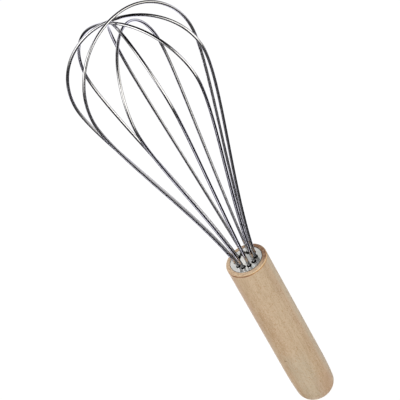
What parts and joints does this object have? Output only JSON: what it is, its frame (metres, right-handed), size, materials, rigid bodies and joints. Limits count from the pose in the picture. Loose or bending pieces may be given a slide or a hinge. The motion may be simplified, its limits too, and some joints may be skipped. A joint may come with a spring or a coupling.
{
  "type": "balloon whisk",
  "caption": "Hand whisk: round wooden handle with a domed butt, steel face plate in its mouth, and bright wire loops that cross at the crown of an open balloon.",
  "frame": {"origin": "middle of the handle's parallel grip, on its axis", "axes": "+Z along the whisk from the butt to the crown of the wires; +X and +Y are square to it, hole 0 of the plate's ring lies 17 degrees from +X towards +Y"},
  "size_m": [0.0735, 0.0715, 0.302],
  "materials": {
    "handle_wood": "light beech, sanded and lightly oiled, satin, fine lengthwise grain",
    "plate_steel": "polished stainless sheet with faint turning marks",
    "wire_steel": "bright polished stainless wire",
    "filling_resin": "hard dark cast resin, hidden in the bore and seen only through the open parts of the holes"
  },
  "bodies": {
    "root": {"handle": "handle_wood", "face_plate": "plate_steel", "wire_loop_1": "wire_steel", "wire_loop_2": "wire_steel", "wire_loop_3": "wire_steel", "wire_loop_4": "wire_steel", "wire_loop_5": "wire_steel", "bore_filling": "filling_resin"}
  },
  "joints": []
}
